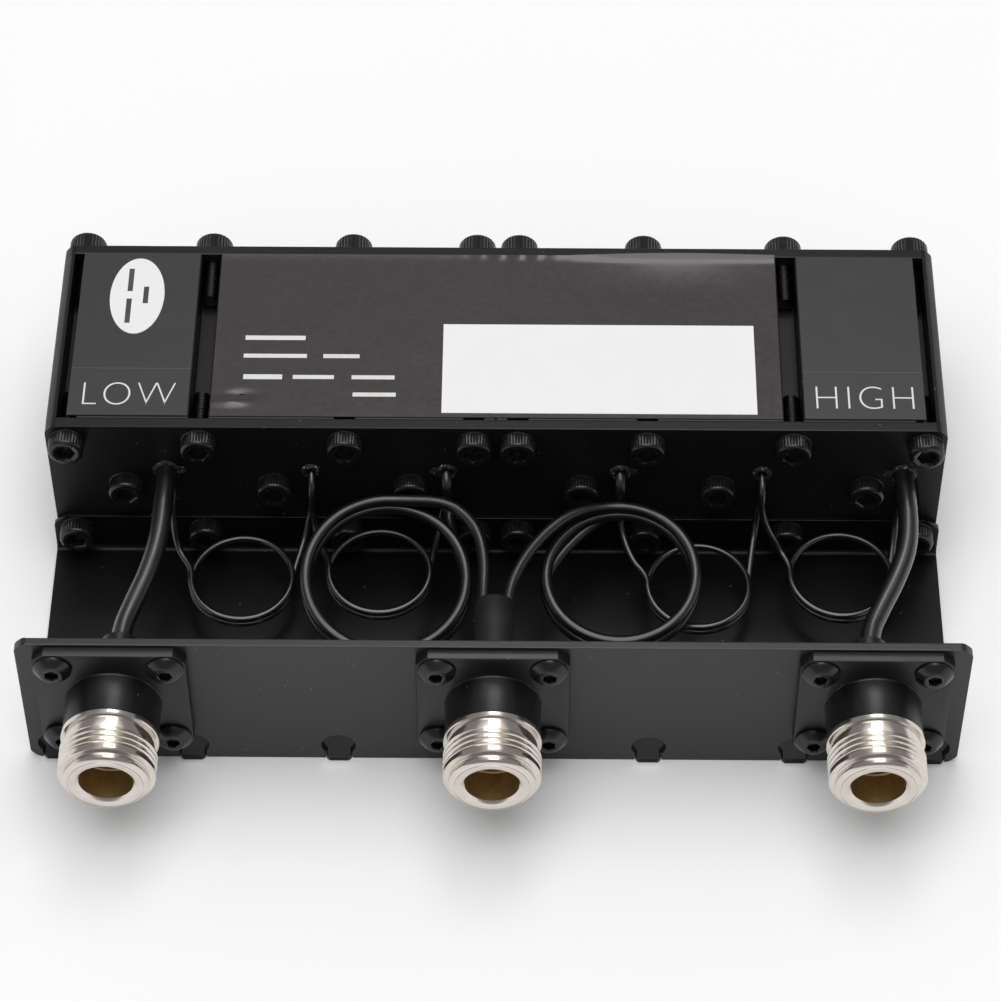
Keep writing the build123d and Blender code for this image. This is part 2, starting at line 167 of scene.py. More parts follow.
def black_oxide(name):
    """Hardened steel with a black oxide skin: dark, a little oily, brighter in rubbed patches."""
    material, shader, place = new_finish(name, {"Metallic": 0.3, "Specular IOR Level": 0.7})
    rubbed = spread(grains(place, 1.5 * mm, 4.0), 0.55, 0.75, 0.0, 1.0)
    set_colour(shader, rubbed, linear("#161617"), linear("#242323"))
    set_roughness(shader, rubbed, 0.0, 1.0, 0.24, 0.34)
    set_bump(shader, grains(place, 0.4 * mm), 0.01 * mm, 0.4)
    return material


def nickel_plate(name):
    """Turned brass under bright nickel: warm white mirror with faint turning marks and haze."""
    material, shader, place = new_finish(name, {"Metallic": 1.0})
    haze = grains(place, 2.5 * mm, 4.0)
    set_colour(shader, haze, linear("#e4ddd6"), linear("#cdc5bd"))
    set_roughness(shader, haze, 0.35, 0.7, 0.12, 0.22)
    stretch = {"Vector": place, "Scale": (1.0, 14.0, 1.0)}
    turned = add(material.node_tree, "Mapping", stretch).outputs["Vector"]
    set_bump(shader, grains(turned, 3 * mm, 1.0), 0.01 * mm, 0.5)
    return material


def plated(name, bright, dull, shine):
    """Thinly plated or bare metal: tinted reflections that vary a little."""
    material, shader, place = new_finish(name, {"Metallic": 1.0})
    haze = grains(place, 1.2 * mm, 3.0)
    set_colour(shader, haze, linear(bright), linear(dull))
    set_roughness(shader, haze, 0.3, 0.7, shine, shine + 0.12)
    set_bump(shader, grains(place, 0.3 * mm), 0.006 * mm, 0.4)
    return material


def moulded(name, colour, shine, bump=0.01, gloss=0.0):
    """Moulded or extruded plastic: even colour and a soft sheen under a faintly uneven skin."""
    material, shader, place = new_finish(name, {"Coat Weight": gloss, "Coat Roughness": 0.12})
    uneven = grains(place, 3 * mm, 3.0)
    set_colour(shader, uneven, colour, scaled(colour, 1.3))
    set_roughness(shader, uneven, 0.3, 0.7, shine - 0.05, shine + 0.08)
    set_bump(shader, grains(place, 0.9 * mm), bump * mm, 0.6)
    return material


def printed_film(name, colour, shine, rear_sheen_colour=None):
    """Printed sheet under clear film: dark, glossy, slightly wavy, with a painted reflection that
    lightens it towards its rear, broken up by uneven patches.
    """
    material, shader, place = new_finish(name)
    depth = add(material.node_tree, "SeparateXYZ", {"Vector": place}).outputs["Y"]
    low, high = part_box("main_label")
    # Painted reflection: the colour lightens towards the label's rear, with random patches mixed in
    rear = spread(depth, low.y, high.y, 0.0, 0.8)
    patches = spread(grains(place, 22 * mm), 0.3, 0.7, -0.1, 0.2)
    rear_sheen_and_patches = combine("ADD", rear, patches)
    set_colour(shader, rear_sheen_and_patches, colour, rear_sheen_colour or colour)
    set_roughness(shader, grains(place, 1.1 * mm), 0.3, 0.7, shine, shine + 0.08)
    set_bump(shader, grains(place, 9 * mm, 1.0), 0.12 * mm, 0.5)
    return material


def paper(name, code, shade):
    """Uncoated paper or matt ink: even, with faint fibres and a little grime."""
    material, shader, place = new_finish(name, {"Roughness": 0.62})
    grime = spread(grains(place, 6 * mm, 4.0), 0.45, 0.8, 0.0, 1.0)
    set_colour(shader, grime, linear(code), linear(shade))
    set_bump(shader, grains(place, 0.35 * mm, 4.0), 0.01 * mm, 0.5)
    return material


def soft_solder(name):
    """Cooled solder under dark flux: dull lumps with a few bright crumbs."""
    material, shader, place = new_finish(name)
    lumps = grains(place, 0.7 * mm, 3.0)
    crumbs = spread(lumps, 0.6, 0.68, 0.0, 1.0)
    set_colour(shader, crumbs, linear("#121111"), linear("#b0ada8"))
    set_roughness(shader, crumbs, 0.0, 1.0, 0.6, 0.35)
    link(crumbs, shader, "Metallic")
    set_bump(shader, lumps, 0.15 * mm, 1.0)
    return material


# Geometry

def put(whole, part, material=None, at=None):
    """Adds a part to a whole, moved to its place; without a material's index it keeps its own."""
    if material is not None:
        for face in part.faces:
            face.material_index = material
    mesh = bpy.data.meshes.new("part")
    part.to_mesh(mesh)
    if at is not None:
        mesh.transform(at)
    whole.from_mesh(mesh)
    bpy.data.meshes.remove(mesh)


def new_object(name, data):
    """A new object in the scene that shows this data."""
    made = bpy.data.objects.new(name, data)
    bpy.context.scene.collection.objects.link(made)
    return made


def show(name, bm, materials, replaced=(), sharp=35.0, body=root_body):
    """Makes a piece of the whole mesh that rides on its body and stands for its nodes."""
    bmesh.ops.recalc_face_normals(bm, faces=bm.faces)
    mesh = bpy.data.meshes.new(name)
    bm.to_mesh(mesh)
    bm.free()
    for material in materials:
        mesh.materials.append(material)
    mesh.shade_smooth()
    mesh.set_sharp_from_angle(angle=math.radians(sharp))
    piece = new_object(name, mesh)
    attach(piece, body)
    if replaced:
        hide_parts(*replaced)
    return piece


def joined_copy(node):
    """A copy of a CAD node's mesh with its loose triangles joined."""
    bm = bmesh.new()
    bm.from_mesh(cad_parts[node].data)
    bmesh.ops.remove_doubles(bm, verts=bm.verts, dist=weld)
    return bm


def whole_faces(node):
    """A joined copy of a CAD node whose flat faces are whole."""
    bm = joined_copy(node)
    bmesh.ops.dissolve_limit(bm, angle_limit=math.radians(1), verts=bm.verts, edges=bm.edges)
    return bm


def solids_of(node):
    """The lowest and highest corner of each separate solid of a node, from left to right."""
    bm = joined_copy(node)
    left = set(bm.verts)
    boxes = []
    while left:
        solid = [left.pop()]
        for vert in solid:
            near = {edge.other_vert(vert) for edge in vert.link_edges} & left
            left -= near
            solid += near
        low = Vector([min(vert.co[k] for vert in solid) for k in range(3)])
        high = Vector([max(vert.co[k] for vert in solid) for k in range(3)])
        boxes.append((low, high))
    bm.free()
    return sorted(boxes, key=lambda corners: (round(corners[0].x, 5), round(corners[0].z, 5)))


def middle(low, high):
    """The x and z halfway between two corners."""
    return (low.x + high.x) / 2, (low.z + high.z) / 2


def bent_edges(bm, bend, shortest=0.0):
    """Edges longer than a limit where two faces meet at more than an angle in degrees."""
    limit = math.radians(bend)
    return [edge for edge in bm.edges
            if edge.calc_face_angle(0) > limit and edge.calc_length() > shortest]


def round_edges(bm, edges, width, segments, clamp=False):
    """Bevels edges: one segment chamfers them, and more round them."""
    bmesh.ops.bevel(bm, geom=edges, offset=width, offset_type="OFFSET", segments=segments,
                    profile=0.5, affect="EDGES", material=-1, clamp_overlap=clamp)


def points_of(made):
    """The vertices among what an operator made."""
    return [item for item in made if isinstance(item, bmesh.types.BMVert)]


def laid(degrees, place, turn):
    """Tips a part that was made upright at the origin, and takes it to its place."""
    tipped = Matrix.Rotation(math.radians(degrees), 4, "X") @ Matrix.Rotation(turn, 4, "Z")
    return Matrix.Translation(place) @ tipped


def facing_front(x, y, z, turn=0.0):
    return laid(90, (x, y, z), turn)


def facing_back(x, y, z, turn=0.0):
    return laid(-90, (x, y, z), turn)


def lathe(profile, segments, unit=mm, lead=0.0):
    """Spins a profile of radius and height about the upright axis; a lead makes it climb."""
    bm = bmesh.new()
    verts = [bm.verts.new((radius * unit, 0, height * unit)) for radius, height in profile]
    edges = [bm.edges.new(pair) for pair in zip(verts, verts[1:])]
    bmesh.ops.spin(bm, geom=verts + edges, cent=(0, 0, 0), axis=(0, 0, 1),
                   dvec=(0, 0, lead / segments), angle=math.tau, steps=segments,
                   use_merge=lead == 0, use_duplicate=False)
    bmesh.ops.remove_doubles(bm, verts=bm.verts, dist=weld)
    return bm


def cut_away(bm, place, outwards):
    """Cuts off what lies outside a plane, and gives the cut's edges."""
    everything = bm.verts[:] + bm.edges[:] + bm.faces[:]
    cut = bmesh.ops.bisect_plane(bm, geom=everything, dist=weld / 10, plane_co=place,
                                 plane_no=outwards, clear_outer=True)
    return [item for item in cut["geom_cut"] if isinstance(item, bmesh.types.BMEdge)]


def thread(radius, depth, pitch, low, high, segments, bore=0.0):
    """A helical thread between two heights, flat and closed at its ends, with or without a bore."""
    turns = math.ceil((high - low) / pitch) + 3
    profile = []
    for turn in range(turns):
        start = low + (turn - 2) * pitch
        profile += [(radius - depth, start), (radius - depth, start + pitch * 0.12)]
        profile += [(radius, start + pitch * 0.46), (radius, start + pitch * 0.62)]
    bm = lathe(profile, segments, 1, pitch)
    rims = []
    for height, outside in ((low, -1), (high, 1)):
        rim = cut_away(bm, (0, 0, height), (0, 0, outside))
        if bore:
            rims += climb(bm, rim, height, bore)
        else:
            bmesh.ops.edgeloop_fill(bm, edges=rim)
    if bore:
        bmesh.ops.bridge_loops(bm, edges=rims)
    return bm


def start_rim(radius, segments):
    """A new mesh that holds one open circle at height 0, and the circle's edges."""
    bm = bmesh.new()
    bmesh.ops.create_circle(bm, cap_ends=False, radius=radius, segments=segments)
    return bm, bm.edges[:]


def climb(bm, rim, height, radius):
    """Extrudes a rim to a new height; radius is one value, or a value for each angle."""
    made = bmesh.ops.extrude_edge_only(bm, edges=rim)["geom"]
    fresh = points_of(made)
    for vert in fresh:
        angle = math.atan2(vert.co.y, vert.co.x)
        reach = radius(angle) if callable(radius) else radius
        vert.co = (reach * math.cos(angle), reach * math.sin(angle), height)
    fresh = set(fresh)
    return [item for item in made
            if isinstance(item, bmesh.types.BMEdge) and set(item.verts) <= fresh]


def climb_all(bm, rim, steps):
    """Extrudes a rim through steps of height and radius, and closes it."""
    for height, radius in steps:
        rim = climb(bm, rim, height, radius)
    bmesh.ops.edgeloop_fill(bm, edges=rim)


def hexagon(flats):
    """How far a hexagon's edge is from its middle at each angle."""
    return lambda angle: flats / 2 / math.cos(angle % (math.pi / 3) - math.pi / 6)


def knurled(radius, depth, ridges):
    """A ridged edge: its distance from the middle at each angle."""
    return lambda angle: radius - depth * (0.5 - 0.5 * math.cos(angle * ridges))


def tube(name, route, radius, material, node):
    """A smooth cable through its route's points that stands for its CAD node."""
    curve = bpy.data.curves.new(name, "CURVE")
    curve.dimensions = "3D"
    curve.bevel_depth = radius
    curve.bevel_resolution = 5
    curve.resolution_u = 8
    curve.use_fill_caps = True
    spline = curve.splines.new("NURBS")
    spline.points.add(len(route) - 1)
    for point, place in zip(spline.points, route):
        point.co = (place[0] * mm, panel_face + place[1] * mm, place[2] * mm, 1)
    spline.order_u = 3
    spline.use_endpoint_u = True
    curve.materials.append(material)
    piece = new_object(name, curve)
    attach(piece, root_body)
    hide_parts(node)


def coil(centre, radius, tilt, pitch, start, direction, turns):
    """Points of a sinking coil; the curve through their sides' middles has the coil's radius."""
    steps = 16
    reach = radius / math.cos(math.pi / steps)
    tilt = math.radians(tilt)
    points = []
    for step in range(round(turns * steps) + 2):
        turned = (step - 0.5) / steps
        angle = math.radians(start) + direction * math.tau * turned
        across = reach * math.sin(angle)
        sunk = pitch * min(max(turned, 0), turns)
        points.append((centre[0] + reach * math.cos(angle), centre[1] + across * math.cos(tilt),
                       centre[2] + across * math.sin(tilt) - sunk))
    return points


# Settings

class PaintSettings(bpy.types.PropertyGroup):
    coat: FloatVectorProperty(
        name="Coat", description="Colour of the connector panel's powder coat", subtype="COLOR",
        default=linear("#1a1a1b"), min=0, max=1)
    edge_round: FloatProperty(
        name="Edge round", description="Width of the rounding on sheet and plate edges",
        default=0.22 * mm, unit="LENGTH")
    shortest_edge: FloatProperty(
        name="Shortest edge", description="Edges shorter than this stay sharp",
        default=1.2 * mm, unit="LENGTH")
    corner_round: FloatProperty(
        name="Corner round", description="Width of the rounding on cut corners",
        default=0.55 * mm, unit="LENGTH")


class ScrewSettings(bpy.types.PropertyGroup):
    hex_flats: FloatProperty(
        name="Hex", description="Width across the flats of a cap screw's recess",
        default=3.0 * mm, unit="LENGTH")
    recess: FloatProperty(
        name="Recess", description="Depth of a cap screw's recess", default=1.5 * mm, unit="LENGTH")
    ridges: IntProperty(
        name="Ridges", description="Number of ridges in the knurl", default=32, min=12)
    ridge_depth: FloatProperty(
        name="Ridge depth", description="Depth of the knurl", default=0.14 * mm, unit="LENGTH")
    front_head: FloatProperty(
        name="Front head", description="Height of the heads on the front plate",
        default=3.0 * mm, unit="LENGTH")
    back_head: FloatProperty(
        name="Back head", description="Height of the heads on the back plate",
        default=3.8 * mm, unit="LENGTH")
    pitch: FloatProperty(
        name="Pitch", description="Pitch of the screw threads", default=0.5 * mm, unit="LENGTH")
    button_flats: FloatProperty(
        name="Button hex", description="Width across the flats of a button screw's recess",
        default=2.0 * mm, unit="LENGTH")
    seed: IntProperty(name="Seed", description="Chooses how far each screw is turned", default=7)


class SocketSettings(bpy.types.PropertyGroup):
    pitch: FloatProperty(
        name="Pitch", description="Pitch of the socket thread", default=1.058 * mm, unit="LENGTH")
    depth: FloatProperty(
        name="Depth", description="Depth of the socket thread", default=0.62 * mm, unit="LENGTH")
    rim_length: FloatProperty(
        name="Rim", description="Length of the bright ring in front of the black collar",
        default=0.9 * mm, unit="LENGTH")
    bore: FloatProperty(
        name="Bore", description="Radius of the mouth", default=4.4 * mm, unit="LENGTH")


class CableSettings(bpy.types.PropertyGroup):
    thick: FloatProperty(
        name="Thick", description="Radius of the outer sockets' cables",
        default=1.7 * mm, unit="LENGTH")
    loop: FloatProperty(
        name="Loop", description="Radius of the middle socket's cables",
        default=1.0 * mm, unit="LENGTH")
    thin: FloatProperty(
        name="Thin", description="Radius of the coupling cables", default=0.6 * mm, unit="LENGTH")
    solder_seed: IntProperty(
        name="Solder seed", description="Chooses how lumpy each ring of solder is", default=11)


class LabelSettings(bpy.types.PropertyGroup):
    film: FloatVectorProperty(
        name="Film", description="Colour of the main label", subtype="COLOR",
        default=linear("#3b3738"), min=0, max=1)
    grid: FloatProperty(
        name="Grid", description="Spacing of the label's surface points",
        default=0.5 * mm, unit="LENGTH")
    wave: FloatProperty(
        name="Wave", description="Height of the waves at the label's rear edge",
        default=0.6 * mm, unit="LENGTH")


class StageSettings(bpy.types.PropertyGroup):
    camera_place: FloatVectorProperty(
        name="Camera", description="Place of the camera", unit="LENGTH",
        default=(0.00562, -0.38567, 0.48607))
    yaw: FloatProperty(
        name="Yaw", description="Turn of the camera to the left",
        default=math.radians(0.71), unit="ROTATION")
    tilt: FloatProperty(
        name="Tilt", description="How far the camera looks down",
        default=math.radians(50.262), unit="ROTATION")
    roll: FloatProperty(
        name="Roll", description="Turn of the picture",
        default=math.radians(-0.204), unit="ROTATION")
    lens: FloatProperty(
        name="Lens", description="Focal length in millimetres on a 36 mm sensor", default=128.78)
    ambient: FloatProperty(
        name="Ambient", description="Strength of the light from all round", default=0.5)
    walls: FloatProperty(
        name="Walls", description="Strength of what reflections see at the sides", default=0.25)
    ceiling: FloatProperty(
        name="Ceiling", description="Strength of what reflections see overhead", default=0.9)


# Operators, one for each group of pieces

def settings(name):
    return getattr(bpy.context.scene, "duplexer_" + name)


def is_cut_corner(edge):
    """Whether an edge runs front to back beside a cut corner, where real metal is round."""
    if not edge.is_manifold or not edge.is_convex:
        return False
    along = (edge.verts[1].co - edge.verts[0].co).normalized()
    return abs(along.y) > 0.99 and 0.65 < edge.calc_face_angle(0) < 0.9


def dress_sheet(node, material):
    """A node's own shape with rounded edges; sharp marks keep its large faces looking flat."""
    sizes = settings("paint")
    large_face = 60 * mm * mm
    bm = whole_faces(node)
    round_edges(bm, [edge for edge in bm.edges if is_cut_corner(edge)], sizes.corner_round, 3, True)
    round_edges(bm, bent_edges(bm, 50, sizes.shortest_edge), sizes.edge_round, 2)
    mesh = show(node + "_finish", bm, [material], [node], sharp=20.0).data
    for face in mesh.polygons:
        if face.area > large_face:
            for corner in face.loop_indices:
                mesh.edges[mesh.loops[corner].edge_index].use_edge_sharp = True


class DUPLEXER_OT_metalwork(bpy.types.Operator):
    """Panel, tray, clamping plates and housings in black paint"""
    bl_idname = "duplexer.metalwork"
    bl_label = "Metalwork"

    def execute(self, context):
        face = powder_coat("satin black powder coat", settings("paint").coat, 0.36, 0.5)
        dress_sheet("connector_panel", face)
        # Painted shade: the tray gets the panel's powder coat made darker and less glossy, standing
        # in for the shadow inside the tray
        inside = powder_coat("black powder coat, darkened as painted shade", linear("#090909"), 0.34, 0.2)
        dress_sheet("tray", inside)
        coat = powder_coat("black powder coat on plate", linear("#101011"), 0.34, 0.3)
        dress_sheet("front_plate", coat)
        dress_sheet("back_plate", coat)
        body = powder_coat("black paint on extruded aluminium", linear("#0f0f10"), 0.36, 0.35)
        dress_sheet("low_housing", body)
        dress_sheet("high_housing", body)
        return {"FINISHED"}


def socket_shell(sizes, collar_end):
    """The bright front of a socket: ring, barrel, band, nose and face, above its flange's face."""
    ring_end = collar_end + sizes.rim_length / mm
    points = [(7.4, collar_end - 0.3), (7.75, collar_end), (7.95, collar_end + 0.12)]
    points += [(7.95, ring_end - 0.2), (7.8, ring_end), (7.3, ring_end + 0.05)]
    points += [(7.3, 10.2), (7.26, 10.3), (7.26, 13.6), (7.8, 13.6), (7.92, 13.72), (7.92, 14.55)]
    points += [(7.75, 14.78), (7.05, 14.86), (6.95, 14.96), (6.95, 15.8), (6.8, 16.02)]
    points += [(6.3, 16.28), (6.2, 16.3), (6.18, 16.2), (6.06, 16.2), (6.02, 16.3)]
    points += [(5.0, 16.3), (4.85, 16.24), (sizes.bore / mm, 15.8)]
    return lathe(points, 112)


class DUPLEXER_OT_sockets(bpy.types.Operator):
    """The three sockets with their flanges, threads, insulators and contacts"""
    bl_idname = "duplexer.sockets"
    bl_label = "Sockets"

    def execute(self, context):
        sizes = settings("socket")
        black = powder_coat("black enamel on the flange", linear("#0f0f10"), 0.3, 0.4)
        nickel = nickel_plate("bright nickel on turned brass")
        warm = plated("gold flash in the mouth", "#d6c090", "#a88e5e", 0.4)
        gold = plated("hard gold on the contact", "#e0b060", "#b98a3a", 0.2)
        white = moulded("white fluoropolymer", linear("#d9d3c6"), 0.45)
        for side in ("low", "antenna", "high"):
            self.make_body(side, sizes, black, nickel, warm)
            self.make_inside(side, white, gold)
        return {"FINISHED"}

    def make_body(self, side, sizes, black, nickel, warm):
        """Flange, black collar, bright shell with its thread, mouth and ferrule of one socket."""
        node = side + "_connector"
        low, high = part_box(node)
        x, z = middle(low, high)
        thick = 2.0 * mm
        face = panel_face - thick
        forwards = facing_front(x, face, z)
        whole = bmesh.new()
        put(whole, self.make_flange(high.x - low.x, high.z - low.z, thick), 0, forwards)
        collar_end = 7.0
        collar = [(8.05, -0.1), (7.86, 0.1), (7.8, 0.3), (7.8, collar_end - 0.2),
                  (7.65, collar_end), (7.3, collar_end)]
        put(whole, lathe(collar, 96), 0, forwards)
        put(whole, socket_shell(sizes, collar_end), 1, forwards)
        inner_wall = 6.2 * mm
        turns = thread(7.94 * mm, sizes.depth, sizes.pitch, 10.2 * mm, 13.8 * mm, 112, inner_wall)
        put(whole, turns, 1, forwards)
        floor = (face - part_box(side + "_insulator")[0].y) / mm
        bore = sizes.bore / mm
        mouth = [(bore, 15.8), (bore, floor + 3.2), (bore - 0.25, floor + 3.0),
                 (bore - 0.25, floor - 1.0)]
        put(whole, lathe(mouth, 96), 2, forwards)
        ferrule = [(0, 0), (5.6, 0), (5.6, 4.2), (5.3, 4.5), (2.9, 4.5), (2.9, 10.3), (2.7, 10.5),
                   (1.75, 10.5), (1.75, 8), (0, 8)]
        put(whole, lathe(ferrule, 64), 0, facing_back(x, panel_face, z))
        show(side + "_socket", whole, [black, nickel, warm], [node], sharp=32.0)

    def make_flange(self, width, height, thick):
        """A square flange with cut corners and soft edges, below height 0."""
        flange = bmesh.new()
        bmesh.ops.create_cube(flange, size=1)
        bmesh.ops.scale(flange, vec=(width, height, thick), verts=flange.verts)
        bmesh.ops.translate(flange, vec=(0, 0, -thick / 2), verts=flange.verts)
        corners = [edge for edge in flange.edges
                   if abs(edge.verts[0].co.z - edge.verts[1].co.z) > thick / 2]
        round_edges(flange, corners, 2.0 * mm, 1)
        round_edges(flange, bent_edges(flange, 60), 0.25 * mm, 2)
        return flange

    def make_inside(self, side, white, gold):
        """The insulator bead and the hollow contact of one socket."""
        low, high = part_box(side + "_insulator")
        x, z = middle(low, high)
        radius = (high.x - low.x) / 2 / mm
        length = (high.y - low.y) / mm
        ring = [(1.6, -length), (radius, -length), (radius, -0.2), (radius - 0.2, 0), (1.9, 0),
                (1.6, -0.2), (1.6, -length)]
        bead = lathe(ring, 64)
        bead.transform(facing_front(x, low.y, z))
        show(side + "_bead", bead, [white], [side + "_insulator"])
        low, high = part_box(side + "_contact")
        length = (high.y - low.y) / mm
        pin = [(0, -length), (1.55, -length), (1.55, -0.5), (1.3, 0), (1.0, 0), (0.85, -0.3),
               (0.85, -4.2), (0, -4.2)]
        bm = lathe(pin, 48)
        bm.transform(facing_front(x, low.y, z))
        show(side + "_pin", bm, [gold], [side + "_contact"])


def shank(length, segments):
    """The thread of a cap or button screw, below height 0."""
    return thread(shank_radius, thread_depth, settings("screw").pitch, -length, 0.0, segments)


def cap_screw(length, radius, height):
    """A cap screw that seats at height 0: knurled head, hexagon recess, and its thread below."""
    sizes = settings("screw")
    bm, rim = start_rim(1.4 * mm, sizes.ridges * 4)
    edge = knurled(radius - 0.04 * mm, sizes.ridge_depth, sizes.ridges)
    recess = hexagon(sizes.hex_flats)
    floor = height - sizes.recess
    climb_all(bm, rim, [
        (0, radius - 0.12 * mm), (0.08 * mm, radius), (0.26 * mm, radius), (0.32 * mm, edge),
        (height - 0.48 * mm, edge), (height - 0.42 * mm, radius - 0.1 * mm),
        (height - 0.2 * mm, radius - 0.22 * mm), (height - 0.05 * mm, radius - 0.4 * mm),
        (height, radius - 0.55 * mm), (height, 1.95 * mm), (height - 0.2 * mm, recess),
        (floor, recess), (floor - 0.3 * mm, 0.1 * mm)])
    put(bm, shank(length, 20), 1)
    return bm


def button_screw():
    """A low domed screw that seats at height 0, with a hexagon recess."""
    sizes = settings("screw")
    bm, rim = start_rim(1.4 * mm, 48)
    recess = hexagon(sizes.button_flats)
    mouth = hexagon(sizes.button_flats + 0.25 * mm)
    climb_all(bm, rim, [
        (0, 2.98 * mm), (0.1 * mm, 3.1 * mm), (0.42 * mm, 3.1 * mm), (0.56 * mm, 3.0 * mm),
        (1.5 * mm, 2.0 * mm), (1.6 * mm, 1.8 * mm), (1.62 * mm, 1.7 * mm), (1.62 * mm, mouth),
        (1.5 * mm, recess), (0.55 * mm, recess), (0.35 * mm, 0.1 * mm)])
    put(bm, shank(5.0 * mm, 16))
    return bm


class DUPLEXER_OT_screws(bpy.types.Operator):
    """Cap screws round the plates and button screws in the flanges"""
    bl_idname = "duplexer.screws"
    bl_label = "Screws"

    def execute(self, context):
        sizes = settings("screw")
        chance = random.Random(sizes.seed)
        oxide = black_oxide("black oxide steel")
        rolled = plated("rolled thread, oiled black", "#6a6865", "#4a4846", 0.22)
        front = ("front_top_screws", "front_bottom_screws", "resonator_screws")
        for node in (*front, "back_top_screws", "back_bottom_screws"):
            facing, head = facing_back, sizes.back_head
            if node in front:
                facing, head = facing_front, sizes.front_head
            solids = solids_of(node)
            low, high = solids[0]
            screw = cap_screw(high.y - low.y - head, (high.x - low.x) / 2, head)
            whole = self.set_screws(screw, solids, facing, head, chance)
            name = node.replace("screws", "cap_screws")
            show(name, whole, [oxide, rolled], [node])
        dome = 1.8 * mm
        solids = solids_of("flange_screws")
        whole = self.set_screws(button_screw(), solids, facing_front, dome, chance)
        show("button_screws", whole, [oxide], ["flange_screws"])
        return {"FINISHED"}

    def set_screws(self, screw, solids, facing, head, chance):
        """A copy of a screw, turned by chance, at each solid, with its head outside."""
        whole = bmesh.new()
        for low, high in solids:
            x, z = middle(low, high)
            seat = low.y + head if facing is facing_front else high.y - head
            put(whole, screw, at=facing(x, seat, z, chance.uniform(0, math.tau)))
        return whole


class DUPLEXER_OT_cavity_parts(bpy.types.Operator):
    """Resonator posts, coupling loops, tuning screws and their nuts"""
    bl_idname = "duplexer.cavity_parts"
    bl_label = "Cavity parts"

    def execute(self, context):
        silver = plated("silver-plated post", "#b9b9b6", "#93928e", 0.22)
        brass = plated("bare brass", "#c6ab70", "#98804c", 0.28)
        zinc = plated("zinc-plated steel", "#a9abad", "#85888b", 0.3)
        copper = plated("tinned copper wire", "#b98a68", "#8d6448", 0.3)
        for number in range(1, tuner_count + 1):
            self.refinish(f"resonator_{number}", silver)
            self.make_tuner(number, brass)
        self.refinish("coupling_loops", copper)
        bm = whole_faces("tuning_nuts")
        round_edges(bm, bent_edges(bm, 50), 0.18 * mm, 1, True)
        show("lock_nuts", bm, [zinc], ["tuning_nuts"], sharp=25.0)
        return {"FINISHED"}

    def refinish(self, node, material):
        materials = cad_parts[node].data.materials
        materials.clear()
        materials.append(material)

    def make_tuner(self, number, brass):
        """A threaded screw with a slot across its outer end."""
        node = f"tuning_screw_{number}"
        low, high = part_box(node)
        radius = (high.x - low.x) / 2
        slot_width = 0.8 * mm
        slot_depth = 1.2 * mm
        overlap = 0.05 * mm
        pitch = 0.5 * mm
        bm = thread(radius, thread_depth, pitch, low.y - high.y, -slot_depth, 32)
        for side in (-1, 1):
            lip = bmesh.new()
            bmesh.ops.create_circle(lip, cap_ends=True, radius=radius - 0.02 * mm, segments=32)
            cut_away(lip, (0, side * slot_width / 2, 0), (0, -side, 0))
            made = bmesh.ops.extrude_face_region(lip, geom=lip.faces[:])["geom"]
            bmesh.ops.translate(lip, vec=(0, 0, -slot_depth - overlap), verts=points_of(made))
            put(bm, lip)
        x, z = middle(low, high)
        bm.transform(facing_back(x, high.y, z))
        show(f"tuner_{number}_screw", bm, [brass], [node], body=f"tuner_{number}")


